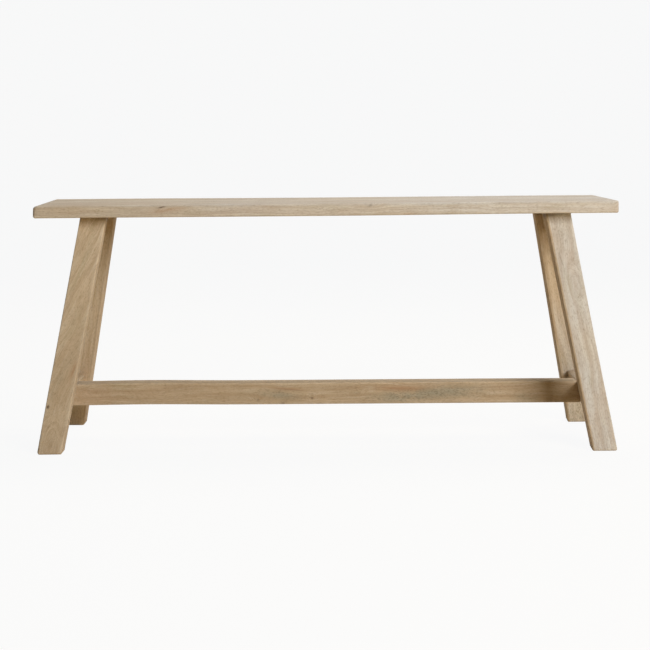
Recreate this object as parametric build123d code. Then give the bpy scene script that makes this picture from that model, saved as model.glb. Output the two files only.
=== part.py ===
from build123d import *
import os
from math import cos, radians, sin, tan

# A backless rustic bench in pale mango wood. One plank is the seat. It stands on two trestles
# of two square legs each, and each trestle leans outward at its foot while its legs spread.
# A lower rail and an upper rail tie the two legs of a trestle, and one long stretcher ties
# the lower rails. Rails are tenoned and pegged, the stretcher's tenons are wedged, and the
# seat is screwed to the upper rails from below.
#
# Lengths are in millimetres. +X runs along the seat, the front faces -Y, +Z is up, and the
# origin lies on the floor under the middle of the seat.

# Seat plank, hand sawn: it rises a little from left to right, is a little thicker along its
# front edge, and its ends are a little out of square. Height and thickness are at its middle.
seat_length = 1100.0
seat_width = 290.0
seat_height = 468.65
seat_thickness = 22.4
seat_rise_to_right = 3.5
seat_rise_to_front = 1.4
seat_end_skew = 2.0
seat_corner_radius = 5.0
seat_edge_radius = 3.0

# Legs, sawn from one stock. Their centre lines meet the floor a little inside the ends of the
# seat, and a little outside its front and rear edges.
leg_width = 45.0
leg_depth = 47.0
leg_lean_angle = 10.7
leg_splay_angle = 9.0
foot_inset_from_end = 24.5
foot_outset_from_edge = 9.0
leg_edge_radius = 4.0
sole_edge_radius = 3.5

# Rails between the two legs of a trestle
rail_height = 43.0
rail_thickness = 20.0
rail_edge_radius = 2.0
rail_tenon_thickness = 12.0
rail_tenon_length = 30.0
rail_tenon_shoulder = 6.0
upper_rail_haunch = 10.0

# Long stretcher, flush with the top of the lower rails where it meets them
stretcher_height = 43.0
stretcher_width = 42.0
stretcher_underside = 67.0
stretcher_edge_radius = 3.0
stretcher_tenon_width = 30.0
stretcher_tenon_height = 15.0
stretcher_tenon_proud = 2.0
stretcher_tenon_chamfer = 0.8

# Wedges, two in each of the stretcher's through tenons
wedge_head_thickness = 3.6
wedge_tip_thickness = 1.0
wedge_length = 17.0
wedge_spacing = 15.0

# Pegs, one through each rail tenon, driven from the outside of the leg and stopped inside it.
# They are split and shaved to eight sides, so that their corners bite in a round hole.
peg_diameter = 8.0
peg_sides = 8
peg_proud = 0.8
peg_head_chamfer = 0.7
peg_tip_chamfer = 1.2
peg_setback = 14.0
peg_blind_wall = 7.0
peg_hole_relief = 2.0

# Pan head screws that hold the seat, in slots that let the plank move with the seasons
screw_diameter = 4.5
screw_head_diameter = 9.5
screw_head_height = 3.2
screw_head_chamfer = 1.6
screw_point_length = 6.0
screw_grip = 12.0
screw_inset_from_leg = 27.0
screw_bore_depth = 16.0
screw_bore_diameter = 12.0
screw_slot_width = 5.4
screw_slot_travel = 5.0
screw_hole_relief = 1.0

# Clearances, and the overrun of cutting tools past the faces they open
tenon_clearance = 0.2
wedge_clearance = 0.1
peg_clearance = 0.1
screw_clearance = 0.1
cut_overrun = 5.0

lean = radians(leg_lean_angle)
splay = radians(leg_splay_angle)
foot_span_length = seat_length - 2 * foot_inset_from_end
foot_span_depth = seat_width + 2 * foot_outset_from_edge
reach = seat_length
sides = {"left": -1, "right": 1}
ends = {"front": -1, "rear": 1}

# The seat rises by this slope from left to right, above and below
underside_slope = seat_rise_to_right / seat_length
underside_middle = seat_height - seat_thickness


def underside_at(x):
    """Height of the seat's underside above the floor at a place along the seat."""
    return underside_middle + underside_slope * x


def trestle_plane(side):
    """Frame of one trestle: X across its depth, Y up its slope, Z outward from the bench."""
    foot = (side * foot_span_length / 2, 0, 0)
    outward = (side * cos(lean), 0, sin(lean))
    return Plane(origin=foot, x_dir=(0, side, 0), z_dir=outward)


def top_of_trestle(side):
    """Height up a trestle's slope at which its middle plane meets the seat's underside."""
    rise = underside_at(side * foot_span_length / 2)
    return rise / (cos(lean) + side * underside_slope * sin(lean))


def leg_centre(height):
    """Distance from a trestle's middle to a leg's centre line, at a height up the slope."""
    return foot_span_depth / 2 - height * tan(splay)


def leg_inner(height):
    """Distance from a trestle's middle to a leg's inner face, at a height up the slope."""
    return leg_centre(height) - leg_depth / 2 / cos(splay)


def above_underside():
    """Everything above the seat's underside, as a block that trims what meets the seat."""
    outline = [
        (-reach, underside_at(-reach)),
        (reach, underside_at(reach)),
        (reach, seat_height + reach),
        (-reach, seat_height + reach),
    ]
    return extrude(Plane.XZ * Polygon(*outline, align=None), amount=reach, both=True)


def below_floor():
    """Everything below the floor, as a block that trims the soles level."""
    return Pos(0, 0, -reach / 2) * Box(reach + foot_span_length, reach, reach)


def beyond(side, offset):
    """Everything outward of a plane parallel to a trestle, offset from its middle plane."""
    block = Box(reach, reach, reach, align=(Align.CENTER, Align.CENTER, Align.MIN))
    return trestle_plane(side) * Pos(0, 0, offset) * block


# Heights up the slope of the rails and of their tenons. A tilted rail's inner face is the low
# one, so the lower rail is set by that face, to finish flush with the stretcher.
stretcher_centre = stretcher_underside + stretcher_height / 2
lower_rail_top = (stretcher_underside + stretcher_height + rail_thickness / 2 * sin(lean)) / cos(lean)
lower_rail_bottom = lower_rail_top - rail_height


def rail_levels(level, side):
    """Bottom and top of a rail, then bottom and top of its tenons, up a trestle's slope."""
    if level == "lower":
        bottom, top = lower_rail_bottom, lower_rail_top
        return bottom, top, bottom + rail_tenon_shoulder, top - rail_tenon_shoulder
    top = top_of_trestle(side)
    bottom = top - rail_height
    return bottom, top, bottom + rail_tenon_shoulder, top - upper_rail_haunch


def rail_tenon_bar(level, side, clearance):
    """Both tenons of a rail as one bar through it. With a clearance it cuts their mortises."""
    low, high = rail_levels(level, side)[2:]
    tip = leg_inner((low + high) / 2) + rail_tenon_length + clearance
    height = high - low + 2 * clearance
    bar = Box(2 * tip, height, rail_tenon_thickness + 2 * clearance)
    return Pos(0, (low + high) / 2, 0) * bar


def peg_place(level, side, hand):
    """Where a peg's axis crosses the trestle's middle plane, at one end of a rail."""
    low, high = rail_levels(level, side)[2:]
    middle = (low + high) / 2
    return Pos(hand * (leg_inner(middle) + peg_setback), middle, 0)


def peg_hole(level, side, hand):
    """A stopped hole for a peg, from past the leg's outer face to a little past the peg."""
    bottom = -leg_width / 2 + peg_blind_wall - peg_hole_relief
    depth = leg_width / 2 + cut_overrun - bottom
    radius = peg_diameter / 2 + peg_clearance
    hole = Cylinder(radius, depth, align=(Align.CENTER, Align.CENTER, Align.MIN))
    return peg_place(level, side, hand) * Pos(0, 0, bottom) * hole


def make_peg(level, side, hand):
    """An eight-sided peg with an eased head that stands proud, and a pointed tip."""
    length = leg_width - peg_blind_wall + peg_proud
    peg = extrude(RegularPolygon(peg_diameter / 2, peg_sides), amount=length)
    peg = chamfer(peg.faces().sort_by(Axis.Z)[-1].edges(), peg_head_chamfer)
    peg = chamfer(peg.faces().sort_by(Axis.Z)[0].edges(), peg_tip_chamfer)
    seated = peg_place(level, side, hand) * Pos(0, 0, peg_blind_wall - leg_width / 2) * peg
    return trestle_plane(side) * seated


def make_leg(side, end):
    """A square leg that leans two ways, trimmed at the floor and at the seat's underside."""
    hand = side * end
    length = (seat_height + leg_width + leg_depth) / cos(lean) / cos(splay)
    middle = seat_height / 2 / cos(lean)
    stock = Box(leg_depth, length, leg_width)
    stock = fillet(stock.edges().filter_by(Axis.Y), leg_edge_radius)
    tilted = Pos(hand * leg_centre(middle), middle, 0) * Rot(0, 0, hand * leg_splay_angle) * stock
    leg = trestle_plane(side) * tilted - below_floor() - above_underside()
    leg = fillet(leg.faces().sort_by(Axis.Z)[0].edges(), sole_edge_radius)
    for level in ("lower", "upper"):
        joint = rail_tenon_bar(level, side, tenon_clearance) + peg_hole(level, side, hand)
        leg = leg - trestle_plane(side) * joint
    return leg


def screw_place(side, hand):
    """Where a seat screw's head bears in the upper rail, with its point up the slope."""
    bearing = rail_levels("upper", side)[0] + screw_bore_depth
    place = leg_inner(bearing) - screw_inset_from_leg
    return trestle_plane(side) * Pos(hand * place, bearing, 0) * Rot(-90, 0, 0)


def make_screw(side, hand):
    """A pan head screw turned about its axis: bevelled head, plain shank and conical point."""
    radius = screw_diameter / 2
    head = screw_head_diameter / 2
    length = rail_height - screw_bore_depth + screw_grip
    outline = [
        (0, -screw_head_height),
        (head, -screw_head_height),
        (head, 0),
        (radius, 0),
        (radius, length - screw_point_length),
        (0, length),
    ]
    profile = Polygon(*outline, align=None)
    rim = profile.vertices().sort_by(Axis.Y)[:2].sort_by(Axis.X)[-1]
    profile = Plane.XZ * chamfer(rim, screw_head_chamfer)
    return screw_place(side, hand) * revolve(profile, Axis.Z)


def screw_slots(side, hand):
    """The slotted bore and slotted shank hole in the upper rail, below and above the head."""
    bore = SlotOverall(screw_bore_diameter + screw_slot_travel, screw_bore_diameter)
    shank = SlotOverall(screw_slot_width + screw_slot_travel, screw_slot_width)
    low = extrude(bore, amount=-screw_bore_depth - cut_overrun)
    high = extrude(shank, amount=rail_height)
    return screw_place(side, hand) * (low + high)


def make_upper_rail(side):
    """The rail under the seat: bevelled to the plank, tenoned at both ends, slotted for screws."""
    bottom, top = rail_levels("upper", side)[:2]
    spare = top + rail_thickness
    outline = [
        (-leg_inner(bottom), bottom),
        (leg_inner(bottom), bottom),
        (leg_inner(spare), spare),
        (-leg_inner(spare), spare),
    ]
    body = extrude(Polygon(*outline, align=None), amount=rail_thickness / 2, both=True)
    lower_edges = body.edges().filter_by(Axis.X).group_by(Axis.Y)[0]
    body = fillet(lower_edges, rail_edge_radius)
    rail = body + rail_tenon_bar("upper", side, 0)
    for hand in ends.values():
        rail = rail - peg_hole("upper", side, hand)
    rail = trestle_plane(side) * rail - above_underside()
    for hand in ends.values():
        rail = rail - screw_slots(side, hand)
    return rail


def stretcher_tenon_bar(clearance):
    """Both tenons of the stretcher as one bar along it. With a clearance it cuts mortises."""
    width = stretcher_tenon_width + 2 * clearance
    height = stretcher_tenon_height + 2 * clearance
    return Pos(0, 0, stretcher_centre) * Box(foot_span_length + leg_width, width, height)


def make_lower_rail(side):
    """The rail near the floor, with a through mortise for the stretcher."""
    bottom, top = rail_levels("lower", side)[:2]
    outline = [
        (-leg_inner(bottom), bottom),
        (leg_inner(bottom), bottom),
        (leg_inner(top), top),
        (-leg_inner(top), top),
    ]
    body = extrude(Polygon(*outline, align=None), amount=rail_thickness / 2, both=True)
    body = fillet(body.edges().filter_by(Axis.X), rail_edge_radius)
    rail = body + rail_tenon_bar("lower", side, 0)
    for hand in ends.values():
        rail = rail - peg_hole("lower", side, hand)
    return trestle_plane(side) * rail - stretcher_tenon_bar(tenon_clearance)


# Where the stretcher's tenons end, along the bench, at the height of their middle
tenon_tip = foot_span_length / 2 - stretcher_centre * tan(lean)
tenon_tip = tenon_tip + (rail_thickness / 2 + stretcher_tenon_proud) / cos(lean)


def wedge_block(side, end, clearance):
    """A wedge that widens towards the tenon's tip. With a clearance it cuts its own kerf."""
    run = wedge_length + cut_overrun
    flare = (wedge_head_thickness - wedge_tip_thickness) / 2 * run / wedge_length
    thin = wedge_tip_thickness / 2 + clearance
    start = tenon_tip - wedge_length - clearance
    outline = [
        (start, -thin),
        (tenon_tip + cut_overrun, -thin - flare),
        (tenon_tip + cut_overrun, thin + flare),
        (start, thin),
    ]
    outline = [(side * x, side * y) for x, y in outline]
    half_height = stretcher_tenon_height / 2 + clearance
    block = extrude(Polygon(*outline, align=None), amount=half_height, both=True)
    return Pos(0, end * wedge_spacing / 2, stretcher_centre) * block


def make_wedge(side, end):
    """One wedge, trimmed level with the end of its tenon."""
    trim = beyond(side, rail_thickness / 2 + stretcher_tenon_proud)
    return wedge_block(side, end, 0) - trim


def make_stretcher():
    """The long bar, with bevelled shoulders against the rails and wedged through tenons."""
    body = Box(foot_span_length, stretcher_width, stretcher_height)
    body = fillet(body.edges().filter_by(Axis.X), stretcher_edge_radius)
    body = Pos(0, 0, stretcher_centre) * body
    tenons = stretcher_tenon_bar(0)
    for side in sides.values():
        body = body - beyond(side, -rail_thickness / 2)
        tenons = tenons - beyond(side, rail_thickness / 2 + stretcher_tenon_proud)
    tips = tenons.faces().sort_by(Axis.X)
    tenons = chamfer(tips[0].edges() + tips[-1].edges(), stretcher_tenon_chamfer)
    stretcher = body + tenons
    for side in sides.values():
        for end in ends.values():
            stretcher = stretcher - wedge_block(side, end, wedge_clearance)
    return stretcher


def make_seat():
    """The plank: skewed ends, round corners, softened edges, and a top on two slight slants."""
    half_length = seat_length / 2
    half_width = seat_width / 2
    half_skew = seat_end_skew / 2
    outline = [
        (-half_length + half_skew, -half_width),
        (half_length + half_skew, -half_width),
        (half_length - half_skew, half_width),
        (-half_length - half_skew, half_width),
    ]
    plan = Polygon(*outline, align=None)
    plan = fillet(plan.vertices(), seat_corner_radius)
    plank = Pos(0, 0, underside_middle - seat_thickness) * extrude(plan, amount=reach)
    facing = (-underside_slope, seat_rise_to_front / seat_width, 1)
    top = Plane(origin=(0, 0, seat_height), x_dir=(1, 0, underside_slope), z_dir=facing)
    above_seat = top * Box(2 * reach, reach, reach, align=(Align.CENTER, Align.CENTER, Align.MIN))
    plank = plank & above_underside() - above_seat
    flats = plank.faces().sort_by(Axis.Z)
    plank = fillet(flats[0].edges() + flats[-1].edges(), seat_edge_radius)
    hole_length = rail_height - screw_bore_depth + screw_grip + screw_hole_relief
    hole_radius = screw_diameter / 2 + screw_clearance
    hole = Cylinder(hole_radius, hole_length, align=(Align.CENTER, Align.CENTER, Align.MIN))
    for side in sides.values():
        for hand in ends.values():
            plank = plank - screw_place(side, hand) * hole
    return plank


nodes = {"seat_plank": make_seat(), "stretcher": make_stretcher()}
for side_name, side in sides.items():
    nodes[f"upper_rail_{side_name}"] = make_upper_rail(side)
    nodes[f"lower_rail_{side_name}"] = make_lower_rail(side)
    for end_name, end in ends.items():
        place = f"{end_name}_{side_name}"
        nodes[f"leg_{place}"] = make_leg(side, end)
        nodes[f"peg_upper_{place}"] = make_peg("upper", side, side * end)
        nodes[f"peg_lower_{place}"] = make_peg("lower", side, side * end)
        nodes[f"wedge_{place}"] = make_wedge(side, end)
        nodes[f"seat_screw_{place}"] = make_screw(side, side * end)

os.makedirs("parts", exist_ok=True)
for name, shape in nodes.items():
    export_step(shape, f"parts/{name}.step")
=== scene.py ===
from math import cos, radians, sin

import bpy
import numpy as np
from mathutils import Matrix


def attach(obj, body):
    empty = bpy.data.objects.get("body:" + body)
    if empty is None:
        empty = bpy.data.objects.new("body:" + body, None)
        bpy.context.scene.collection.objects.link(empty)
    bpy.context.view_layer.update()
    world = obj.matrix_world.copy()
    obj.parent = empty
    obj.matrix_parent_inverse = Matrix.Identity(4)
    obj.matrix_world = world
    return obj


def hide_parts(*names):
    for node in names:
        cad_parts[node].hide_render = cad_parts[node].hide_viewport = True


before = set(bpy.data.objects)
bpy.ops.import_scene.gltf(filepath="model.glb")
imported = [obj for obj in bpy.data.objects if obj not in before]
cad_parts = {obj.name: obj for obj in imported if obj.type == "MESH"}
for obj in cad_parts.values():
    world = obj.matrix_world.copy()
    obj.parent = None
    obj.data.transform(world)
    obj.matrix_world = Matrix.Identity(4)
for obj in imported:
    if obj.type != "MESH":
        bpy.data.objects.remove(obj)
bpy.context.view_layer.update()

# The seat is one sawn plank of mango wood. It rises a little to the right, is a little thicker
# along its front, and has twisted and sagged by a millimetre or two since. Its arrises were eased
# by hand with an abrasive block, so their rounding comes and goes. Screws hold it from below.

# Lengths are millimetres until a mesh is written. A piece has its own measures: x along its
# grain, a across it, b through it.
MM = 0.001

# The plank, how far it rises from left to right, and how far its ends are out of square. It is
# 0.04 mm shorter than the solid that it replaces, so that it stays inside it.
SEAT_LENGTH, SEAT_WIDTH, SEAT_TOP, SEAT_THICKNESS = 1099.96, 290.0, 468.65, 22.4
SEAT_RISE, SEAT_SKEW = 3.5, 2.0
SEAT_SLOPE = SEAT_RISE / SEAT_LENGTH
SEAT_FRONT = -SEAT_WIDTH / 2

# How far its top rises to the front, its rear edge has twisted, and the plank sags over the span
# between the trestles
SEAT_RISE_TO_FRONT, SEAT_TWIST, SEAT_SAG, SEAT_SPAN = 1.4, 2.2, 0.7, 860.0


def stops(low, high, step, fine=()):
    """Places from low to high, one step apart or less. Around each fine spot, given as a place,
    a half width and a step, they are that step apart."""
    places = np.linspace(low, high, int(np.ceil((high - low) / step)) + 1)
    for spot, spread, small in fine:
        near = np.arange(spot - spread, spot + spread + small, small)
        near = near[(near > low) & (near < high)]
        far = np.abs(places - spot) > spread + small / 2
        far[[0, -1]] = True
        places = np.sort(np.concatenate([places[far], near]))
    return places


def section(stops_a, stops_b, corner_steps=5):
    """The outline of a squared bar with round arrises, as four arrays p, q, c and s. For half
    sizes A and B and a radius r its points are (A - r)p + rc and (B - r)q + rs, and c and s are
    the direction in which the surface faces. It runs round from the face that looks along +a.
    stops_a and stops_b, from -1 to 1, divide the bar's width along a and its depth along b."""
    parts = []
    for number, along in enumerate((stops_b, -stops_a[::-1], -stops_b[::-1], stops_a)):
        turn = np.radians(90 * number)
        c, s = np.round(np.cos(turn)), np.round(np.sin(turn))
        flat = np.stack([c - s * along, s + c * along, 0 * along + c, 0 * along + s])
        bend = turn + np.linspace(0, np.pi / 2, corner_steps + 1)[1:-1]
        one = np.ones_like(bend)
        corner = np.stack([one * (c - s), one * (s + c), np.cos(bend), np.sin(bend)])
        parts += [flat, corner]
    return np.concatenate(parts, axis=1)


def bar_rows(places, end_steps=4, rings=(0.25, 0.6, 0.9)):
    """Rows of a plain bar with rounded ends. f is a row's share of the way from the first end to
    the last. first and last are how far it lies in from an end, and first_in and last_in how far
    it is drawn in there, as shares of that end's radius: 1 - cos(t) and 1 - sin(t) over a quarter
    turn. size shrinks the rows of the flat end itself towards its middle, and shift, which is 0
    here, moves a row along x."""
    share = np.asarray(places, float)
    share = (share - share[0]) / (share[-1] - share[0])
    turn = np.linspace(0, np.pi / 2, end_steps + 1)[:-1]
    cap = np.array(rings)
    off = np.concatenate([0 * cap, 1 - np.cos(turn)])
    drawn = np.concatenate([0 * cap + 1, 1 - np.sin(turn)])
    size = np.concatenate([cap, 0 * turn + 1])
    none, flat = 0 * off, 0 * share
    return {
        "f": np.concatenate([none, share, none + 1]),
        "first": np.concatenate([off, 1 - share, none]),
        "last": np.concatenate([none, share, off[::-1]]),
        "first_in": np.concatenate([drawn, flat, none]),
        "last_in": np.concatenate([none, flat, drawn[::-1]]),
        "size": np.concatenate([size, flat + 1, size[::-1]]),
        "shift": np.concatenate([none, flat, none]),
    }


def ripple(seed, x, a, b, length, width):
    """Smooth unevenness between -1 and 1: the mean of ten cosine waves of random direction, pace
    and phase, about one length long with the grain and one width long across it."""
    waves = 10
    chance = np.random.default_rng(seed)
    total = 0.0
    for _ in range(waves):
        way = chance.normal(size=3)
        way = way / np.linalg.norm(way) * chance.uniform(0.5, 1.8)
        path = way[0] * x / length + (way[1] * a + way[2] * b) / width
        total = total + np.cos(2 * np.pi * (path + chance.uniform()))
    return total / waves


def spread(marks, kind, x, a, b):
    """What all marks of one kind add up to: for each, its amount times a bell that falls off
    with the distance from its place, over its own reach along x, a and b. Its last number
    tilts it: how far it climbs in a and b for each step along x."""
    total = np.zeros(np.broadcast(x, a, b).shape)
    for what, place, reach, amount, tilt in marks:
        if what == kind:
            dx = x - place[0]
            da = a - place[1] - tilt[0] * dx
            db = b - place[2] - tilt[1] * dx
            far = (dx / reach[0]) ** 2 + (da / reach[1]) ** 2 + (db / reach[2]) ** 2
            total = total + amount * np.exp(-far)
    return total


def closed_mesh(name, grid, poles, values):
    """A mesh from a grid of points. Each row closes on itself, a fan of triangles closes each end
    at its pole, and the faces are turned outwards by the sign of the volume they enclose. values
    are arrays with one value or one vector for every vertex, kept as attributes."""
    rows, columns = grid.shape[:2]
    points = np.concatenate([grid.reshape(-1, 3), poles]) * MM
    here = np.arange(rows * columns).reshape(rows, columns)
    beside = np.roll(here, -1, axis=1)
    quads = np.stack([here[:-1], beside[:-1], beside[1:], here[1:]], -1).reshape(-1, 4)
    first_pole = np.full(columns, rows * columns)
    first_fan = np.stack([beside[0], here[0], first_pole], -1)
    last_fan = np.stack([here[-1], beside[-1], first_pole + 1], -1)
    fans = np.concatenate([first_fan, last_fan])
    halves = np.concatenate([quads[:, [0, 1, 2]], quads[:, [0, 2, 3]], fans])
    p0, p1, p2 = points[halves[:, 0]], points[halves[:, 1]], points[halves[:, 2]]
    if np.einsum("ij,ij->", p0, np.cross(p1, p2)) < 0:
        quads, fans = quads[:, ::-1], fans[:, ::-1]
    mesh = bpy.data.meshes.new(name)
    mesh.vertices.add(len(points))
    mesh.vertices.foreach_set("co", points.ravel())
    mesh.loops.add(quads.size + fans.size)
    mesh.loops.foreach_set("vertex_index", np.concatenate([quads.ravel(), fans.ravel()]))
    mesh.polygons.add(len(quads) + len(fans))
    starts = [np.arange(len(quads)) * 4, quads.size + np.arange(len(fans)) * 3]
    mesh.polygons.foreach_set("loop_start", np.concatenate(starts))
    mesh.update(calc_edges=True)
    mesh.shade_smooth()
    for key, array in values.items():
        kind, field = ("FLOAT", "value") if array.ndim == 1 else ("FLOAT_VECTOR", "vector")
        layer = mesh.attributes.new(key, kind, "POINT")
        layer.data.foreach_set(field, array.astype(np.float32).ravel())
    piece = bpy.data.objects.new(name, mesh)
    bpy.context.scene.collection.objects.link(piece)
    return piece


def evenly(radius):
    """A bar's end whose edges are all rounded by one radius."""
    return lambda c, s: radius + 0 * c


def no_warp(x, a, b):
    """A bar that has stayed as straight as it was sawn."""
    return 0 * x


def wooden_bar(name, origin, axes, planes, rows, outline, half, radius, ends, pith, uneven,
               marks, tone, seed, middle=0.0, slope=(0.0, 0.0), warp=no_warp):
    """A squared timber: the outline is carried along x between two end planes, each given by its
    normal and its offset. A row's place along x is the plane's own at that point, moved by the
    row's share of the end's radius, which ends gives for each direction c, s. half and middle may
    change from row to row, and radius from row to row and round the outline. The faces are pushed
    inwards by a ripple of the uneven depth and by the marks' dents, and warp moves them along b.
    Every vertex keeps its place in the plank it was sawn from, measured from the pith, past which
    the grain climbs by the slope, and how much of each wood mark it has."""
    p, q, c, s = outline
    every_row = rows["f"].shape
    half_a, half_b, level = (
        np.broadcast_to(np.asarray(size, float), every_row)[:, None] for size in (*half, middle)
    )
    round_ = np.array(radius, float)
    round_ = round_ if round_.ndim == 2 else np.broadcast_to(round_, every_row)[:, None]
    row = {key: value[:, None] for key, value in rows.items()}
    first_end, last_end = (end(c, s) for end in ends)
    drawn = row["first_in"] * first_end + row["last_in"] * last_end
    # Where an end draws in, an arris keeps at least a quarter of its radius.
    r = np.maximum(round_ - drawn, 0.25 * round_)
    a = ((half_a - drawn - r) * p + r * c) * row["size"]
    b = ((half_b - drawn - r) * q + r * s) * row["size"]
    ways = np.array(axes, float)
    start = np.array(origin, float)
    reach = []
    for normal, offset in planes:
        n = np.array(normal, float)
        rise = offset - start @ n - a * (ways[1] @ n) - (b + level) * (ways[2] @ n)
        reach.append(rise / (ways[0] @ n))
    x = reach[0] * (1 - row["f"]) + reach[1] * row["f"]
    x = x + first_end * row["first"] - last_end * row["last"] + row["shift"]
    # Sawing left the faces uneven over about 260 mm of length and 70 mm of width. Within 12 mm of
    # an end the unevenness fades out.
    uneven_length, uneven_width, fade = 260, 70, 12
    inner = np.clip((x - reach[0]) / fade, 0, 1) * np.clip((reach[1] - x) / fade, 0, 1)
    push = -uneven * (0.5 + 0.5 * ripple(seed, x, a, b, uneven_length, uneven_width)) * inner
    push = push - spread(marks, "dent", x, a, b)
    push = np.where(row["size"] < 1, 0, push)
    a, b = a + push * c, b + push * s
    b = b + warp(x, a, b)
    grid = start + x[..., None] * ways[0] + a[..., None] * ways[1] + (b + level)[..., None] * ways[2]
    poles = grid[[0, -1]].mean(axis=1)

    def each(array):
        """One value for every vertex: the grid's, then the mean of its first and last rows."""
        array = np.broadcast_to(array, x.shape)
        return np.concatenate([array.ravel(), array[[0, -1]].mean(axis=1)])

    # Handling rubs the arrises paler, and the ends less. The rub dies away over 3 and 4 mm.
    arris_rub, arris_reach, end_rub, end_reach = 0.3, 3, 0.15, 4
    from_arris = (half_a - round_) * (1 - np.abs(p)) + (half_b - round_) * (1 - np.abs(q))
    from_end = np.maximum(np.minimum(x - reach[0], reach[1] - x), 0)
    rub_and_painted_light = arris_rub * np.exp(-from_arris / arris_reach)
    rub_and_painted_light = np.maximum(rub_and_painted_light, end_rub * np.exp(-from_end / end_reach))
    cut = np.maximum(row["first_in"], row["last_in"]) ** 1.2
    # The pieces lie 900 mm apart in the stock, so that no two have the same grain.
    stock_step = 900
    values = {
        "stock": np.stack([each(x + stock_step * seed), each(a - pith[0] - slope[0] * x),
                           each(b - pith[1] - slope[1] * x)], -1) * MM,
        "swirl": each(spread(marks, "swirl", x, a, b)) * MM,
        # The dark marks hold knots and flecks, and painted shade at the legs' heads and the rails'
        # corners.
        "knots_and_painted_shade": each(np.clip(spread(marks, "dark", x, a, b), 0, 1)),
        "spalt": each(np.clip(spread(marks, "spalt", x, a, b), 0, 1)),
        "rust": each(np.clip(spread(marks, "rust", x, a, b), 0, 1)),
        "tone": each(np.clip(tone(x, a, b), 0, 1)),
        # The pale marks add painted light to the rub.
        "rub_and_painted_light": each(np.clip(rub_and_painted_light + spread(marks, "pale", x, a, b), 0, 1)),
        "cut": each(cut),
    }
    return closed_mesh(name, grid, poles, values)


def linear(code):
    """An sRGB hex colour as linear light: (v + 0.055) / 1.055 to the power 2.4, or v / 12.92 in
    the darkest part."""
    v = np.array([int(code[i:i + 2], 16) for i in (1, 3, 5)]) / 255
    return (*np.where(v <= 0.04045, v / 12.92, ((v + 0.055) / 1.055) ** 2.4), 1.0)


def empty_material(name):
    """A new material and its node tree, with nothing in it."""
    material = bpy.data.materials.new(name)
    material.use_nodes = True
    material.node_tree.nodes.clear()
    return material, material.node_tree


def add(tree, kind, settings=None, *values, **named):
    """Adds a node and gives its first live output. settings are the node's own; values go to its
    sockets in order, and named ones to the socket of that name, as numbers or as links."""
    node = tree.nodes.new("ShaderNode" + kind)
    for key, value in (settings or {}).items():
        setattr(node, key, value)
    sockets = {s.identifier: s for s in node.inputs}
    chosen = list(zip(node.inputs, values))
    chosen += [(sockets.get(k) or sockets[k.replace("_", " ")], v) for k, v in named.items()]
    for socket, value in chosen:
        if isinstance(value, bpy.types.NodeSocket):
            tree.links.new(value, socket)
        else:
            socket.default_value = value
    return next((s for s in node.outputs if s.enabled), None)


def pace(*lengths):
    """How often a pattern repeats in a metre: 1 over each given length, in mm, of one repeat."""
    return tuple(1 / (length * MM) for length in lengths)


# Bare mango from its palest stock to its brownest
PALE_WOOD, HONEY_WOOD, BROWN_WOOD = "#D6D2CA", "#D5C0A1", "#BDA789"


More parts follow.
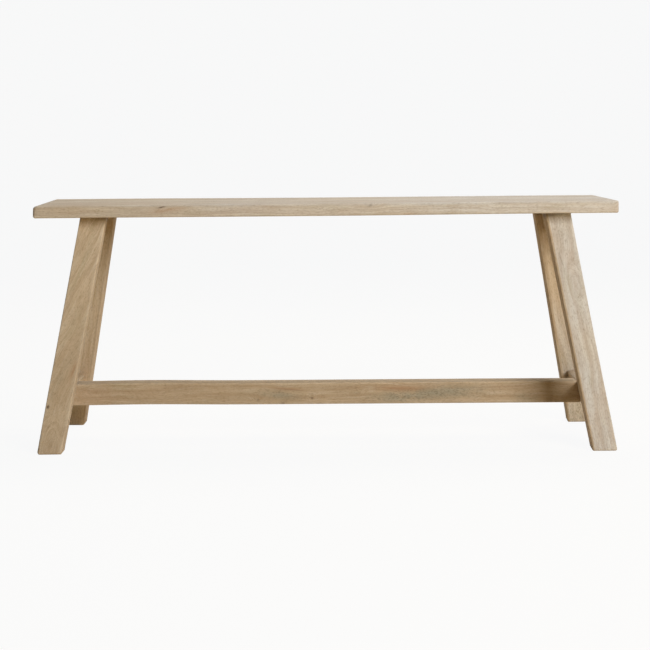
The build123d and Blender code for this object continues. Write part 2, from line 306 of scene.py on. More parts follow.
def sanded_mango(name, turned=None):
    """Mango wood, sawn, sanded and left raw: pale and matt, with wavering growth bands, short open
    pores, and clouds of pink and grey-green. On a piece without stock measures of its own,
    turned gives the turn and the shift that lay the grain along x, and the tone."""
    material, tree = empty_material(name)
    mark = {}
    for key in ("swirl", "knots_and_painted_shade", "spalt", "rust", "tone", "rub_and_painted_light", "cut"):
        mark[key] = add(tree, "Attribute", {"attribute_name": key}).node.outputs["Fac"]
    if turned:
        mark["tone"] = turned[2]
    stock = add(tree, "Attribute", {"attribute_name": "stock"}).node.outputs["Vector"]
    if turned:
        place = add(tree, "TexCoord").node.outputs["Object"]
        stock = add(tree, "Mapping", None, Vector=place, Rotation=turned[0], Location=turned[1])
    # The grain wavers by about a centimetre in every 170 mm, and swirls round the knots. Growth
    # bands about 7 mm apart lie at equal distances from the pith along that grain.
    waver = add(tree, "Mapping", None, Vector=stock, Scale=pace(170, 60, 60))
    waver = add(tree, "TexNoise", None, Vector=waver, Scale=1.0, Detail=2.0).node.outputs["Color"]
    follow = {"operation": "MULTIPLY_ADD"}
    grain = add(tree, "VectorMath", follow, waver, (0.0, 26 * MM, 26 * MM), stock)
    grain = add(tree, "VectorMath", follow, mark["swirl"], (0.0, 1.0, 1.0), grain)
    band = add(tree, "VectorMath", {"operation": "MULTIPLY"}, grain, (0.0, *pace(7, 7)))
    band = add(tree, "VectorMath", {"operation": "LENGTH"}, band)
    seen = {"tone": mark["tone"]}
    seen["growth"] = add(tree, "TexNoise", {"noise_dimensions": "1D"}, W=band, Scale=1.0,
                         Detail=3.0, Roughness=0.6)
    # Length with the grain and width across it, in mm, and fineness of each pattern in the wood.
    # Pores are 0.2 mm wide in the real wood and are drawn at 0.6 mm, so that they show.
    sizes = {
        "cloud": (150, 34, 2.0),
        "moss": (90, 24, 3.0),
        "streak": (120, 4.0, 3.0),
        "mottle": (24, 10, 2.0),
        "fibre": (34, 1.1, 2.0),
        "pore": (9, 0.6, 0.0),
        "rub": (14, 10, 2.0),
        "speck": (5, 2.2, 1.0),
    }
    for key, (length, width, detail) in sizes.items():
        scaled = add(tree, "Mapping", None, Vector=grain, Scale=pace(length, width, width))
        seen[key] = add(tree, "TexNoise", None, Vector=scaled, Scale=1.0, Detail=detail,
                        Roughness=0.55)
    # Each layer over the bare wood: its pattern, where in it the layer starts and is full, how
    # strong it is there, as a number or a mark of the piece, and its colour.
    layers = [
        ("tone", 0.0, 0.5, 1.0, HONEY_WOOD),
        ("tone", 0.5, 1.0, 1.0, BROWN_WOOD),
        ("cloud", 0.45, 0.75, 0.28, "#C7AA8C"),
        ("moss", 0.52, 0.75, 0.30, "#B3AA88"),
        ("growth", 0.35, 0.66, 0.22, "#93714A"),
        ("streak", 0.42, 0.75, 0.16, "#93714A"),
        ("streak", 0.50, 0.25, 0.22, "#E4D8C4"),
        ("mottle", 0.35, 0.70, 0.10, "#9C7C55"),
        ("fibre", 0.45, 0.70, 0.18, "#8A6A46"),
        ("speck", 0.50, 0.72, 0.24, "#8A6A46"),
        ("pore", 0.66, 0.74, 0.30, "#6E5133"),
        ("mottle", 0.15, 0.60, mark["spalt"], "#9C9682"),
        ("speck", 0.45, 0.70, mark["spalt"], "#857A62"),
        ("streak", 0.20, 0.55, mark["rust"], "#A9764B"),
        ("rub", -0.20, 0.80, mark["cut"], "#9A7A52"),
        # Rubbed arrises, with the pale marks' painted light
        ("rub", 0.10, 0.90, mark["rub_and_painted_light"], "#DCD0BB"),
        # Knots and flecks, with the dark marks' painted shade
        ("mottle", -0.20, 0.30, mark["knots_and_painted_shade"], "#4E3620"),
    ]
    soft, coloured = {"interpolation_type": "SMOOTHSTEP"}, {"data_type": "RGBA"}
    colour = linear(PALE_WOOD)
    for key, start, full, strength, code in layers:
        much = add(tree, "MapRange", soft, seen[key], start, full, 0.0, strength)
        colour = add(tree, "Mix", coloured, Factor_Float=much, A_Color=colour, B_Color=linear(code))
    # Soft early wood and pores were sanded lower than the hard streaks, by up to 0.2 mm.
    height = add(tree, "Math", follow, seen["streak"], 0.5, 0.0)
    for key, amount in (("fibre", 0.35), ("growth", 0.3), ("pore", -0.4)):
        height = add(tree, "Math", follow, seen[key], amount, height)
    relief = add(tree, "Bump", None, Strength=0.5, Distance=0.25 * MM, Height=height)
    rough = add(tree, "MapRange", soft, seen["streak"], 0.3, 0.7, 0.66, 0.84)
    wood = add(tree, "BsdfPrincipled", None, Base_Color=colour, Roughness=rough, Normal=relief,
               IOR=1.45, Specular_IOR_Level=0.35)
    add(tree, "OutputMaterial", None, Surface=wood)
    return material


def near_arris(outline, side_a, side_b):
    """How near each point of an outline is to the arris between the faces that look along side_a
    and side_b: 1 there, 0 at the three other arrises, and even steps between."""
    return (1 + side_a * outline[0]) * (1 + side_b * outline[1]) / 4


def seat_warp(x, a, b):
    """How the plank departs from two flat faces. Its top falls to the rear and its rear edge has
    twisted, and the whole plank sags between the trestles: by sag times the square of
    cos(pi x / span)."""
    top = 0.5 + b / SEAT_THICKNESS
    rear = 0.5 + a / SEAT_WIDTH
    fall = SEAT_RISE_TO_FRONT * (rear - 0.5) + SEAT_TWIST * rear * x / SEAT_LENGTH
    near = np.clip(x / SEAT_SPAN, -0.5, 0.5)
    return -fall * top - SEAT_SAG * np.cos(np.pi * near) ** 2


# Marks are (kind, place, reach, amount, tilt). A dent pushes the surface in and a swirl moves the
# grain, both in mm. Dark, spalt, rust and pale ones colour the wood by a share; some dark ones on
# the legs and rails are painted shade, and some pale ones painted light. The plank has a rusty
# drying check near its front arris, a knot that turns the grain right of the middle, a
# rust-coloured fleck beside it, and a small knot near the right end.
CHECK_X, KNOT_X, SMALL_KNOT_X = -306.5, 85.0, 536.0
seat_marks = [
    ("dent", (CHECK_X, SEAT_FRONT, 7.5), (4.5, 4.0, 0.45), 1.1, (0, 0.21)),
    ("dark", (CHECK_X, SEAT_FRONT, 7.6), (6.5, 4.0, 1.0), 1.0, (0, 0.21)),
    ("rust", (-292.0, SEAT_FRONT, 3.0), (30.0, 6.0, 4.0), 0.4, (0, 0.12)),
    ("dark", (KNOT_X, SEAT_FRONT + 2, 8.0), (3.2, 7.0, 2.0), 0.35, (0, 0.35)),
    ("dark", (KNOT_X - 2, SEAT_FRONT - 1, 6.5), (8.0, 5.0, 2.2), 0.18, (0, 0.1)),
    ("swirl", (KNOT_X - 1, SEAT_FRONT, 10.0), (26.0, 16.0, 9.0), 16.0, (0, 0)),
    ("swirl", (-280.0, SEAT_FRONT, 4.0), (30.0, 14.0, 8.0), -9.0, (0, 0)),
    ("rust", (157.0, SEAT_FRONT, -9.5), (9.0, 4.0, 1.1), 0.55, (0, 0)),
    ("dark", (SMALL_KNOT_X, SEAT_FRONT + 2, 6.5), (3.0, 4.0, 1.8), 0.28, (0, 0)),
    ("swirl", (SMALL_KNOT_X, SEAT_FRONT + 2, 6.0), (12.0, 10.0, 6.0), 6.0, (0, 0)),
]
# The grid is closest where the check and the knots are, and at the arrises.
seat_fine = [(CHECK_X, 9, 0.7), (KNOT_X, 12, 1.5), (SMALL_KNOT_X, 8, 1.5)]
seat_rows = bar_rows(stops(-SEAT_LENGTH / 2, SEAT_LENGTH / 2, 5.0, seat_fine))
seat_across = stops(-1, 1, 0.05, [(-0.985, 0.015, 0.006), (0.985, 0.015, 0.012)])
seat_through = stops(-1, 1, 0.11, [(0.86, 0.12, 0.03)])
seat_outline = section(seat_across, seat_through)
# The arrises' radius is about 3.2 mm. The top front one has 1 mm more at its left end and 2.6 mm
# more at its right one, and the left end's edges are the roundest.
seat_at = -SEAT_LENGTH / 2 + SEAT_LENGTH * seat_rows["f"]
seat_arris = 3.2 + 0.8 * ripple(3, seat_at, 0, 0, 150, 1)
seat_front_arris = 1.0 + 1.6 * seat_rows["f"]
seat_top_front = near_arris(seat_outline, -1, 1)
seat_end = (1, SEAT_SKEW / SEAT_WIDTH, 0)
seat = wooden_bar(
    "seat_plank_hand_eased",
    origin=(0, 0, 0),
    axes=((1, 0, 0), (0, 1, 0), (0, 0, 1)),
    planes=[(seat_end, -SEAT_LENGTH / 2), (seat_end, SEAT_LENGTH / 2)],
    rows=seat_rows,
    outline=seat_outline,
    half=(SEAT_WIDTH / 2, SEAT_THICKNESS / 2),
    radius=seat_arris[:, None] + seat_front_arris[:, None] * seat_top_front,
    ends=(lambda c, s: 4.8 + 3.0 * seat_top_front, evenly(3.0)),
    pith=(40.0, -210.0),
    uneven=0.35,
    marks=seat_marks,
    tone=lambda x, a, b: 0.22 - 0.16 * x / SEAT_LENGTH + 0.1 * ripple(8, x, a, b, 200, 60),
    seed=1,
    middle=SEAT_TOP - SEAT_THICKNESS / 2 + SEAT_SLOPE * seat_at,
    warp=seat_warp,
)
mango = sanded_mango("sanded_raw_mango")
seat.data.materials.append(mango)
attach(seat, "root")
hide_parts("seat_plank")

# Four square legs sawn from the same wood. Each leans with its trestle, foot outward, and spreads
# to the front or the rear, so its foot and its head are cut on two slants. The rails' tenons hold
# them in pairs. The feet's edges are eased by different amounts.

LEAN, SPLAY = radians(10.7), radians(9.0)
LEG_WIDTH, LEG_DEPTH, LEG_LENGTH = 45.0, 47.0, 459.8
LEG_FACE = LEG_DEPTH / 2

# Where a leg's centre line meets the floor, measured from the middle of the bench
FOOT_X, FOOT_Y = 525.5, 154.0

# How far the right legs' feet have twisted, the radius of a sole's front and rear edges, and the
# length in round numbers that rows and ripples are spaced over
LEG_TWIST, SOLE_EDGE, LEG_SPACED = 2.2, 3.8, 460.0

# The plane of the plank's underside, to which the legs' heads are cut
UNDERSIDE = ((-SEAT_SLOPE, 0, 1), SEAT_TOP - SEAT_THICKNESS)


def trestle(side):
    """A trestle's foot, and its three ways: across the bench, up its slope, and outward."""
    foot = np.array([side * FOOT_X, 0, 0])
    across = np.array([0, side, 0])
    up = np.array([-side * sin(LEAN), 0, cos(LEAN)])
    outward = np.array([side * cos(LEAN), 0, sin(LEAN)])
    return foot, across, up, outward


def leg_frame(side, end):
    """A leg's foot and its three ways: up its centre line, across it in its trestle, and outward.
    The first two are the trestle's own, turned by the splay towards the front or the rear."""
    foot, across, up, outward = trestle(side)
    hand = side * end
    along = up * cos(SPLAY) - across * hand * sin(SPLAY)
    beside = across * cos(SPLAY) + up * hand * sin(SPLAY)
    return foot + across * hand * FOOT_Y, along, beside, outward


def leg_warp(side, outer, lip):
    """How a leg's faces depart from flat ones, as movements outward along b. The feet of the right
    legs have twisted. The outer front arris stands out by the two outer amounts at foot and head,
    and half way up by a quarter of both: foot (1 - u) squared and head u squared, u being the
    share of the way up. The inner front arris stands in by lip, from just above the sole."""
    lip_starts, lip_grows = 12, 40

    def warp(x, a, b):
        up = x / LEG_LENGTH
        front, outside = 0.5 - side * a / LEG_DEPTH, 0.5 + b / LEG_WIDTH
        twist = max(side, 0) * LEG_TWIST * (1 - up) * (1 - front) * (1 - outside)
        stands_out = (outer[0] * (1 - up) ** 2 + outer[1] * up ** 2) * front ** 3 * outside
        stands_in = lip * np.clip((x - lip_starts) / lip_grows, 0, 1) * front ** 3 * (1 - outside)
        return twist + stands_out - stands_in
    return warp


def leg_tone(number, tones):
    """How brown a leg is: its foot's tone, turning to its head's with the cube of the way up,
    uneven by 0.18, and on the inner face, which has the lowest b, by the third tone more: painted
    shade, and painted light where that tone is negative."""
    foot, head, inner_painted_shade = tones
    head_at, inner_below = 450, -18

    def tone(x, a, b):
        turning = (head - foot) * (x / head_at) ** 3
        uneven = 0.18 * ripple(30 + number, x, a, b, 160, 40)
        return foot + turning + uneven + inner_painted_shade * (b < inner_below)
    return tone


def sole_edges(inner, outer):
    """The rounding of a foot's edges: SOLE_EDGE to the front and the rear, and the given radii
    to the inner and outer sides, with the square of s between."""
    return lambda c, s: SOLE_EDGE + np.where(s < 0, inner - SOLE_EDGE, outer - SOLE_EDGE) * s * s


# For each leg: tones are those of its foot and its head and what its inner face has more, which
# is painted shade, and feet the radii of its sole's inner and outer edges. pith and slope are
# those of its grain.
# fuller tells by how much it is fuller than square: its inner face at foot and head, its outer
# front arris at foot and head, and its inner front arris.
legs = {
    # A small hole in the outer front arris, arching grain near the foot, and a paler inner face, which
    # is painted light
    "front_left": {
        "side": -1,
        "end": -1,
        "tones": (0.55, 0.48, -0.05),
        "feet": (1.4, 7.0),
        "pith": (-70.0, 60.0),
        "slope": (0.0, -0.3),
        "fuller": ((0.7, 1.4), (0.0, 1.1), 2.2),
        "marks": [
            # This pale mark is painted light on the inner face, which looks towards the key lamp.
            ("pale", (230.0, -6, -24.5), (400.0, 30.0, 4.0), 0.22, (0, 0)),
            ("dent", (84.5, LEG_FACE, 18.6), (2.6, 4.0, 2.4), 1.6, (0, 0)),
            ("dark", (84.5, LEG_FACE, 18.6), (3.0, 6.0, 2.6), 0.95, (0, 0)),
            ("swirl", (86.0, LEG_FACE - 0.5, 20.0), (16.0, 12.0, 9.0), 6.0, (0, 0)),
            ("swirl", (20.0, LEG_FACE - 0.5, 2.0), (46.0, 20.0, 15.0), 26.0, (0, 0)),
            ("rust", (160.0, LEG_FACE, -16.5), (20.0, 6.0, 2.4), 0.45, (0, -0.16)),
            ("spalt", (150.0, LEG_FACE, 3.0), (60.0, 8.0, 8.0), 0.15, (0, -0.3)),
        ],
    },
    # Short dark flecks, a rippled patch and some spalting towards the head
    "front_right": {
        "side": 1,
        "end": -1,
        "tones": (0.1, -0.08, 0.9),
        "feet": (2.6, 4.4),
        "pith": (60.0, 75.0),
        "slope": (0.0, 0.03),
        "fuller": ((0.0, 0.0), (2.2, 2.9), 0.0),
        "marks": [
            ("dark", (369.0, -LEG_FACE, -10.4), (7.0, 4.0, 0.8), 0.35, (0, 0)),
            ("dark", (361.0, -LEG_FACE, -9.0), (4.0, 4.0, 0.7), 0.25, (0, 0)),
            ("swirl", (318.0, -LEG_FACE, 6.0), (34.0, 20.0, 10.0), 15.0, (0, 0)),
            ("spalt", (420.0, -LEG_FACE, 0.0), (28.0, 8.0, 14.0), 0.18, (0, 0)),
        ],
    },
    "rear_left": {
        "side": -1,
        "end": 1,
        "tones": (0.5, 0.55, 0.3),
        "feet": (3.0, 4.0),
        "pith": (80.0, -60.0),
        "slope": (0.02, 0.03),
        "fuller": ((1.0, 0.0), (0.0, 0.0), 0.0),
        "marks": [],
    },
    # Greyer and darker all round the foot, and browner towards the head, which is painted shade under
    # the plank
    "rear_right": {
        "side": 1,
        "end": 1,
        # The head's tone of 1.3 browns the upper leg: painted shade under the plank.
        "tones": (0.2, 1.3, 0.7),
        "feet": (1.8, 3.6),
        "pith": (-75.0, -65.0),
        "slope": (0.0, -0.03),
        "fuller": ((2.0, 0.8), (0.0, 0.0), 0.0),
        "marks": [
            ("spalt", (30.0, 0, 0), (110.0, 90.0, 90.0), 0.38, (0, 0)),
        ],
    },
}
# A dark line at each leg's head, where it meets the plank, is painted shade from the plank above.
head_painted_shade = ("dark", (LEG_LENGTH, 0, 0), (6.5, 90.0, 90.0), 0.85, (0, 0))
leg_sides = stops(-1, 1, 0.09, [(0.82, 0.16, 0.04), (-0.97, 0.02, 0.02)])
leg_outline = section(-leg_sides[::-1], leg_sides)
for number, (place, own) in enumerate(legs.items()):
    foot, along, beside, outward = leg_frame(own["side"], own["end"])
    # Rows lie closer together at a dent.
    fine = [(mark[1][0], 5.0, 0.9) for mark in own["marks"] if mark[0] == "dent"]
    leg_rows = bar_rows(stops(0, LEG_SPACED, 5.0, fine), end_steps=8)
    inner, outer, lip = own["fuller"]
    inner = inner[0] + (inner[1] - inner[0]) * leg_rows["f"]
    # The arrises are roundest at the foot. The outer front one is the sharpest above it.
    above_foot = np.clip(8 * leg_rows["f"], 0, 1)
    leg_ripple = ripple(20 + number, LEG_SPACED * leg_rows["f"], 0, 0, 120, 1)
    leg_arris = 4.6 + above_foot * (leg_ripple - 1.6)
    outer_front = near_arris(leg_outline, -own["side"], 1)
    leg = wooden_bar(
        f"leg_{place}_hand_eased",
        origin=foot,
        axes=(along, beside, outward),
        planes=[((0, 0, 1), 0.0), UNDERSIDE],
        rows=leg_rows,
        outline=leg_outline,
        half=(LEG_DEPTH / 2, (LEG_WIDTH + inner) / 2),
        radius=leg_arris[:, None] - 1.2 * above_foot[:, None] * outer_front,
        ends=(sole_edges(*own["feet"]), evenly(0.8)),
        pith=own["pith"],
        uneven=0.45,
        marks=own["marks"] + [head_painted_shade],
        tone=leg_tone(number, own["tones"]),
        seed=2 + number,
        middle=-inner / 2,
        slope=own["slope"],
        warp=leg_warp(own["side"], outer, lip),
    )
    leg.data.materials.append(mango)
    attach(leg, "root")
    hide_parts(f"leg_{place}")

# The stretcher is a long bar of the same wood that ties the lower rails. Its shoulders are cut on
# the slant of the rails, and a tenon at each end goes through the rail and is held by two wedges.
# Grey-green spalting runs through it in clouds, with a few small knots.

STRETCHER_WIDTH, STRETCHER_HEIGHT, STRETCHER_UNDER = 42.0, 43.0, 67.0
STRETCHER_FRONT = -STRETCHER_WIDTH / 2
TENON_WIDTH, TENON_HEIGHT, TENON_PROUD, TENON_EASED = 30.0, 15.0, 1.6, 0.7
RAIL_THICKNESS = 20.0

# Half of its length in round numbers, for spacing its rows and ripples
STRETCHER_SPACED = 500.0

# It bows upwards by this much around this place, over this length.
BOW, BOW_X, BOW_LENGTH = 1.4, -350.0, 360.0

left_knot = (-134.9, STRETCHER_FRONT, -12.4)
middle_knot = (-28.2, STRETCHER_FRONT, -9.4)
stretcher_marks = [
    ("spalt", (-95.0, STRETCHER_FRONT, -2.0), (34.0, 9.0, 7.0), 0.55, (0, -0.1)),
    ("spalt", (142.0, STRETCHER_FRONT, -8.0), (50.0, 9.0, 11.0), 0.6, (0, 0.02)),
    ("spalt", (232.0, STRETCHER_FRONT, 1.0), (74.0, 10.0, 12.0), 0.75, (0, 0.03)),
    ("spalt", (395.0, STRETCHER_FRONT, -10.0), (22.0, 8.0, 7.0), 0.4, (0, 0)),
    ("rust", (-75.0, STRETCHER_FRONT, 9.5), (30.0, 5.0, 2.2), 0.45, (0, -0.06)),
    ("rust", (148.0, STRETCHER_FRONT, 9.5), (46.0, 5.0, 6.5), 0.45, (0, 0)),
    # A pale band along the top is painted light on the lit top face.
    ("pale", (0.0, 4, 21.5), (900.0, 22.0, 3.0), 0.4, (0, 0)),
    ("pale", (0.0, STRETCHER_FRONT, 20.5), (900.0, 5.0, 4.0), -0.4, (0, 0)),
    ("dark", left_knot, (2.6, 4.0, 2.2), 0.5, (0, 0)),
    ("dark", middle_knot, (2.4, 4.0, 2.2), 0.65, (0, 0)),
    ("dark", (-85.6, STRETCHER_FRONT, -19.0), (3.5, 4.0, 2.0), 0.4, (0, 0)),
    ("dark", (60.8, STRETCHER_FRONT, 0.2), (3.0, 4.0, 1.6), 0.25, (0, 0)),
    ("dark", (-70.0, STRETCHER_FRONT, 7.5), (26.0, 4.0, 1.0), 0.28, (0, -0.1)),
    ("swirl", (-28.0, STRETCHER_FRONT, -9.4), (12.0, 10.0, 8.0), 7.0, (0, 0)),
    ("swirl", left_knot, (14.0, 10.0, 8.0), 6.0, (0, 0)),
    ("swirl", (60.8, STRETCHER_FRONT, 0.2), (18.0, 10.0, 8.0), 8.0, (0, 0)),
    ("swirl", (-455.0, STRETCHER_FRONT, 3.0), (34.0, 14.0, 14.0), 16.0, (0, 0)),
    ("dent", middle_knot, (2.2, 3.0, 2.0), 0.5, (0, 0)),
    ("dent", left_knot, (2.2, 3.0, 2.0), 0.4, (0, 0)),
]
knot_rows = [(middle_knot[0], 5, 1.0), (left_knot[0], 5, 1.0)]
plain = stops(-STRETCHER_SPACED, STRETCHER_SPACED, 5.0, knot_rows)
plain = bar_rows(plain, end_steps=2, rings=(0.8, 0.9))
# Rows of one tenon, from its tip's middle to its root: share of the section, distance out from
# the shoulder, and how much its tip is eased.
tenon_reach = (RAIL_THICKNESS + TENON_PROUD) / cos(LEAN)
tip_size = np.array([0.3, 0.7, 1.0, 1.0, 1.0, 1.0])
tip_shift = -np.array([tenon_reach, tenon_reach, tenon_reach, tenon_reach - TENON_EASED, 10.0, 0.0])
tip_eased = TENON_EASED * np.array([1.0, 1.0, 1.0, 0.0, 0.0, 0.0])
body = np.ones(len(plain["f"]))
zero = np.zeros(len(tip_size))
stretcher_rows = {
    "f": np.concatenate([zero, plain["f"], zero + 1]),
    "size": np.concatenate([tip_size, body, tip_size[::-1]]),
    "shift": np.concatenate([tip_shift, 0 * body, -tip_shift[::-1]]),
}
for key in ("first", "last", "first_in", "last_in"):
    stretcher_rows[key] = np.concatenate([zero, plain[key], zero])
body_only = np.concatenate([zero, body, zero])


def tenoned(tenon, bar):
    """A size for every row: the tenon's at both ends, eased at the tips, and the bar's between."""
    return np.concatenate([tenon - tip_eased, bar * body, (tenon - tip_eased)[::-1]])


def stretcher_bow(x, a, b):
    """The bow: its height times the square of cos(pi u), u being the share of its length that x
    lies from its middle."""
    return BOW * np.cos(np.pi * np.clip((x - BOW_X) / BOW_LENGTH, -0.5, 0.5)) ** 2


def stretcher_tone(x, a, b):
    """How brown the stretcher is: a little more to the right, less on top, where the paler top is
    painted light, and unevenly.
    """
    to_right, top_painted_light = 0.06 * x / STRETCHER_SPACED, 0.25 * (b > 19)
    return 0.8 + to_right - top_painted_light + 0.15 * ripple(14, x, a, b, 160, 40)


foot_right, _, _, out_right = trestle(1)
foot_left, _, _, out_left = trestle(-1)
stretcher_across = stops(-1, 1, 0.1, [(-0.97, 0.02, 0.02), (0.97, 0.02, 0.02)])
stretcher_through = stops(-1, 1, 0.09, [(-0.5, 0.2, 0.05), (-0.97, 0.02, 0.02)])
stretcher_outline = section(stretcher_across, stretcher_through)
stretcher_ripple = ripple(12, 2 * STRETCHER_SPACED * plain["f"], 0, 0, 130, 1)
stretcher_arris = tenoned(1.2, 2.0 + 0.6 * stretcher_ripple)
stretcher_top_front = near_arris(stretcher_outline, -1, 1)
stretcher = wooden_bar(
    "stretcher_hand_eased",
    origin=(0, 0, 0),
    axes=((1, 0, 0), (0, 1, 0), (0, 0, 1)),
    planes=[
        (out_left, foot_left @ out_left - RAIL_THICKNESS / 2),
        (out_right, foot_right @ out_right - RAIL_THICKNESS / 2),
    ],
    rows=stretcher_rows,
    outline=stretcher_outline,
    half=(
        tenoned(TENON_WIDTH / 2, STRETCHER_WIDTH / 2),
        tenoned(TENON_HEIGHT / 2, STRETCHER_HEIGHT / 2),
    ),
    radius=stretcher_arris[:, None] + 0.6 * body_only[:, None] * stretcher_top_front,
    ends=(evenly(1.2), evenly(1.2)),
    pith=(55.0, -65.0),
    uneven=0.4,
    marks=stretcher_marks,
    tone=stretcher_tone,
    seed=8,
    middle=STRETCHER_UNDER + STRETCHER_HEIGHT / 2,
    warp=stretcher_bow,
)
stretcher.data.materials.append(mango)
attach(stretcher, "root")
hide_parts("stretcher")

# The lower rails, of the same wood, tie each trestle's legs near the floor and take the
# stretcher. They lean with the trestle, and their tenons are hidden in the legs. The right one's
# top is paler, which is painted light, and the corner beside each rear leg is darker, which is
# painted shade.

# A rail's height, how far its mesh runs into the legs, half of its length in round numbers, for
# spacing its rows and ripples, and how far from its middle the corner of painted shade is
RAIL_HEIGHT, RAIL_HOUSED, RAIL_SPACED, RAIL_SHADED_CORNER = 43.0, 1.5, 115.0, 112.0
rail_top = (STRETCHER_UNDER + STRETCHER_HEIGHT + RAIL_THICKNESS / 2 * sin(LEAN)) / cos(LEAN)
rail_rows = bar_rows(stops(-RAIL_SPACED, RAIL_SPACED, 5.0), end_steps=2)
rail_outline = section(stops(-1, 1, 0.1), stops(-1, 1, 0.2))


def rail_tone(number, side):
    """How brown a lower rail is: unevenly, and on the right one's top by 0.5 less, which is painted
    light on the lit top.
    """
    def tone(x, a, b):
        top_painted_light = 0.5 * max(side, 0) * (a > 19)
        return 0.75 - top_painted_light + 0.15 * ripple(44 + number, x, a, b, 120, 40)
    return tone


for number, (place, side, corner_shade) in enumerate((("left", -1, 0.1), ("right", 1, 0.7))):
    foot, across, up, outward = trestle(side)
    rail_ends = []
    for hand in (-1, 1):
        leg_foot, _, beside, _ = leg_frame(side, side * hand)
        rail_ends.append((beside, leg_foot @ beside - hand * (LEG_DEPTH / 2 - RAIL_HOUSED)))
    rail = wooden_bar(
        f"lower_rail_{place}_hand_eased",
        origin=foot + up * (rail_top - RAIL_HEIGHT / 2),
        axes=(across, up, outward),
        planes=rail_ends,
        rows=rail_rows,
        outline=rail_outline,
        half=(RAIL_HEIGHT / 2, RAIL_THICKNESS / 2),
        radius=2.0 + 0.5 * ripple(40 + number, 2 * RAIL_SPACED * rail_rows["f"], 0, 0, 90, 1),
        ends=(evenly(0.6), evenly(0.6)),
        pith=(30.0, 70.0),
        uneven=0.25,
        # The dark mark is painted shade in the corner where the rail meets the rear leg.
        marks=[("dark", (side * RAIL_SHADED_CORNER, 18.0, -10.0), (18.0, 14.0, 4.0), corner_shade, (0, 0))],
        tone=rail_tone(number, side),
        seed=10 + number,
    )
    rail.data.materials.append(mango)
    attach(rail, "root")
    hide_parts(f"lower_rail_{place}")

# The upper rails carry the seat. They are of the same wood, planed to size, tenoned and pegged
# like the lower ones, and hardly show, so they are left crisper.

# Their grain runs from front to rear, and they are brown all over, which is painted shade: they lie in
# the plank's shade.
RAIL_TURN, RAIL_STOCK, RAIL_SHADE_TONE = (0, 0, radians(-90)), (0.31, 0.055, -0.48), 1.0
rail_mango = sanded_mango("shaded_planed_mango", (RAIL_TURN, RAIL_STOCK, RAIL_SHADE_TONE))
for place in ("left", "right"):
    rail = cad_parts[f"upper_rail_{place}"]
    rail.data.materials.clear()
    rail.data.materials.append(rail_mango)

# Pegs and wedges are of a denser, browner hardwood, so that they outlast the softer rails they
# hold. What shows of them is end grain, cut nearly flush and rubbed down.


def end_grain_hardwood(name):
    """Dense hardwood seen on its cut ends: browner than the bars, with dots for pores, a few fine
    rings, and a waxy rub from the block that levelled it."""
    material, tree = empty_material(name)
    place = tree.nodes.new("ShaderNodeTexCoord").outputs["Object"]
    # Pores 0.4 mm apart and rings 1.5 mm apart; both are drawn at their real size.
    dots = add(tree, "Mapping", None, Vector=place, Scale=pace(6, 0.4, 0.4))
    dots = add(tree, "TexNoise", None, Vector=dots, Scale=1.0, Detail=1.0)
    rings = add(tree, "Mapping", None, Vector=place, Scale=pace(40, 1.5, 3))
    rings = add(tree, "TexNoise", None, Vector=rings, Scale=1.0, Detail=2.0)
    soft = {"interpolation_type": "SMOOTHSTEP"}
    pore = add(tree, "MapRange", soft, dots, 0.58, 0.68, 0.0, 0.6)
    band = add(tree, "MapRange", soft, rings, 0.35, 0.65, 0.0, 0.55)
    colour = add(tree, "Mix", {"data_type": "RGBA"}, Factor_Float=band,
                 A_Color=linear("#A88960"), B_Color=linear("#83633F"))
    colour = add(tree, "Mix", {"data_type": "RGBA"}, Factor_Float=pore,
                 A_Color=colour, B_Color=linear("#4F3822"))
    relief = add(tree, "Bump", {"invert": True}, Strength=0.6, Distance=0.15 * MM, Height=pore)
    rough = add(tree, "MapRange", soft, rings, 0.3, 0.7, 0.5, 0.68)
    wood = add(tree, "BsdfPrincipled", None, Base_Color=colour, Roughness=rough, Normal=relief,
               IOR=1.47, Specular_IOR_Level=0.4)
    add(tree, "OutputMaterial", None, Surface=wood)
    return material


pegwood = end_grain_hardwood("rubbed_end_grain_hardwood")
for end in ("front", "rear"):
    for side in ("left", "right"):
        for name in (f"peg_upper_{end}_{side}", f"peg_lower_{end}_{side}", f"wedge_{end}_{side}"):
            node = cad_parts[name]
            node.data.materials.clear()
            node.data.materials.append(pegwood)

# Four pan head screws, zinc plated, go up through slots in the upper rails into the seat. Their
# heads sit at the bottom of bores, where they show only from below.


def zinc_plate(name):
    """Bright zinc plate on turned steel: a grey, slightly blue metal with a fine cloudy bloom and
    faint turning lines, which blur what it mirrors."""
    material, tree = empty_material(name)
    place = tree.nodes.new("ShaderNodeTexCoord").outputs["Object"]
    # Bloom in patches about 1.2 mm wide, and turning lines 0.2 mm apart drawn at 0.35 mm.
    bloom = add(tree, "TexNoise", None, Vector=place, Scale=1 / (1.2 * MM), Detail=3.0)
    lines = add(tree, "Mapping", None, Vector=place, Scale=pace(3, 3, 0.35))
    lines = add(tree, "TexNoise", None, Vector=lines, Scale=1.0, Detail=1.0)
    soft = {"interpolation_type": "SMOOTHSTEP"}
    amount = add(tree, "MapRange", soft, bloom, 0.3, 0.7, 0.0, 1.0)
    colour = add(tree, "Mix", {"data_type": "RGBA"}, Factor_Float=amount,
                 A_Color=linear("#B9BCBD"), B_Color=linear("#989A98"))
    rough = add(tree, "MapRange", soft, bloom, 0.3, 0.7, 0.28, 0.46)
    relief = add(tree, "Bump", None, Strength=0.4, Distance=0.03 * MM, Height=lines)
    metal = add(tree, "BsdfPrincipled", None, Base_Color=colour, Roughness=rough, Normal=relief,
                Metallic=1.0)
    add(tree, "OutputMaterial", None, Surface=metal)
    return material


zinc = zinc_plate("bright_zinc_plate")
for end in ("front", "rear"):
    for side in ("left", "right"):
        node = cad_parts[f"seat_screw_{end}_{side}"]
        node.data.materials.clear()
        node.data.materials.append(zinc)

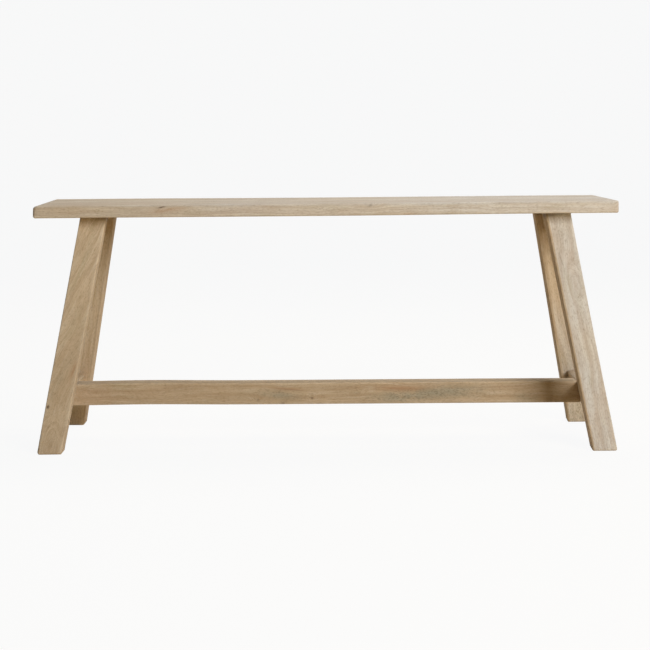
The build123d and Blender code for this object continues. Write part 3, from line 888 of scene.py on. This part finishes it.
# The bench stands on a sweep of white paper: a floor that curves up behind it. Only the camera
# and mirrors see it brighter than it is, so the bench's shadow stays on it, soft and faint.

# In metres: its front edge, where it starts to curve, the curve's radius, its height and its half
# width, and how far it lies below the soles, so that the two surfaces don't coincide
PAPER_FRONT, PAPER_REAR, PAPER_BEND, PAPER_HEIGHT, PAPER_HALF = -6.0, 4.0, 1.6, 4.5, 7.0
PAPER_BELOW = 0.0003

# How much of the white is light of its own, seen by the camera
PAPER_GLOW = 0.94


def seen_directly(tree):
    """1 for a ray from the camera, a mirror or clear glass, and 0 for one that lights things."""
    path = tree.nodes.new("ShaderNodeLightPath").outputs
    larger = {"operation": "MAXIMUM"}
    seen = add(tree, "Math", larger, path["Is Camera Ray"], path["Is Glossy Ray"])
    return add(tree, "Math", larger, seen, path["Is Transmission Ray"])


def white_paper(name):
    """Matt white background paper. To the camera it is mostly an even white light, with some of
    the light and shadow that falls on it."""
    material, tree = empty_material(name)
    fibre = add(tree, "TexNoise", None, Scale=900.0, Detail=2.0,
                Vector=tree.nodes.new("ShaderNodeTexCoord").outputs["Object"])
    colour = add(tree, "Mix", {"data_type": "RGBA"}, Factor_Float=fibre,
                 A_Color=linear("#EFDBB4"), B_Color=linear("#F2DEB7"))
    paper = add(tree, "BsdfDiffuse", None, Color=colour)
    white = add(tree, "Emission", None, Color=(0.985, 0.99, 0.995, 1.0), Strength=1.0)
    seen = add(tree, "Math", {"operation": "MULTIPLY"}, seen_directly(tree), PAPER_GLOW)
    both = add(tree, "MixShader", None, seen, paper, white)
    add(tree, "OutputMaterial", None, Surface=both)
    return material


paper_back = PAPER_REAR + PAPER_BEND
bend = np.linspace(0, np.pi / 2, 17)
profile_y = np.concatenate([[PAPER_FRONT], PAPER_REAR + PAPER_BEND * np.sin(bend), [paper_back]])
profile_z = np.concatenate([[0], PAPER_BEND * (1 - np.cos(bend)), [PAPER_HEIGHT]]) - PAPER_BELOW
sides_x = np.array([-PAPER_HALF, PAPER_HALF])
grid_x, grid_y = np.meshgrid(sides_x, profile_y)
_, grid_z = np.meshgrid(sides_x, profile_z)
here = np.arange(grid_x.size).reshape(grid_x.shape)
faces = np.stack([here[:-1, 0], here[:-1, 1], here[1:, 1], here[1:, 0]], -1)
points = np.stack([grid_x, grid_y, grid_z], -1).reshape(-1, 3)
paper_mesh = bpy.data.meshes.new("paper_sweep")
paper_mesh.from_pydata(points.tolist(), [], faces.tolist())
paper_mesh.shade_smooth()
paper = bpy.data.objects.new("paper_sweep", paper_mesh)
bpy.context.scene.collection.objects.link(paper)
paper_mesh.materials.append(white_paper("white_background_paper"))

# Soft studio light: a large key lamp to the right of the front, a softer one overhead, and an
# even, slightly warm fill from the room.

# Height in metres of the place that the lamps look at
LAMP_AIM = 0.25


def placed(ways, place):
    """The matrix that puts an object at a place in metres, with ways as its three axes."""
    matrix = np.eye(4)
    matrix[:3, :3] = ways
    matrix[:3, 3] = place
    return Matrix(matrix.tolist())


def soft_lamp(name, azimuth, elevation, distance, size, power, colour):
    """A square lamp that looks at the middle of the bench. Azimuth turns from the front towards
    the right, in degrees, and elevation rises from the floor."""
    lamp = bpy.data.lights.new(name, "AREA")
    lamp.shape = "SQUARE"
    lamp.size = size
    lamp.energy = power
    lamp.color = linear(colour)[:3]
    turn, rise = radians(azimuth), radians(elevation)
    back = np.array([sin(turn) * cos(rise), -cos(turn) * cos(rise), sin(rise)])
    right = np.array([cos(turn), sin(turn), 0])
    ways = np.stack([right, np.cross(back, right), back], 1)
    holder = bpy.data.objects.new(name, lamp)
    holder.matrix_world = placed(ways, np.array([0, 0, LAMP_AIM]) + back * distance)
    bpy.context.scene.collection.objects.link(holder)


soft_lamp("key_lamp", azimuth=34, elevation=22, distance=4.2, size=1.65, power=125, colour="#FFFFFF")
soft_lamp("overhead_lamp", azimuth=150, elevation=65, distance=2.6, size=1.5, power=42, colour="#FFFFFF")
world = bpy.data.worlds.new("studio_room")
bpy.context.scene.world = world
world.use_nodes = True
room = world.node_tree
room.nodes.clear()
fill = add(room, "Background", None, Color=linear("#FFE3B8"), Strength=0.02)
white = add(room, "Background", None, Color=linear("#F8F8F8"), Strength=1.0)
either = add(room, "MixShader", None, seen_directly(room), fill, white)
add(room, "OutputWorld", None, Surface=either)

# The camera stands 3.3 m in front of the bench's middle, 0.63 m above the floor, and looks down
# by 7 degrees through a long lens. All of it was worked out from the photograph's edges.

PHOTO_SIDE = 650
FOCAL_PIXELS = 1680.0
SENSOR = 36.0
CAMERA_PLACE = np.array([-5.72, -3297.9, 627.06])
PITCH, YAW, ROLL = 0.12224, 0.00127, -0.00655
ahead = np.array([sin(YAW) * cos(PITCH), cos(YAW) * cos(PITCH), -sin(PITCH)])
right = np.array([cos(YAW), -sin(YAW), 0.0])
above = np.cross(right, ahead)
tilted_right = cos(ROLL) * right + sin(ROLL) * above
tilted_up = cos(ROLL) * above - sin(ROLL) * right
lens = bpy.data.cameras.new("photograph")
lens.lens = FOCAL_PIXELS * SENSOR / PHOTO_SIDE
lens.sensor_width = SENSOR
lens.clip_end = 100.0
camera = bpy.data.objects.new("photograph", lens)
camera.matrix_world = placed(np.stack([tilted_right, tilted_up, -ahead], 1), CAMERA_PLACE * MM)
bpy.context.scene.collection.objects.link(camera)
bpy.context.scene.camera = camera
bpy.context.scene.view_settings.view_transform = "Standard"
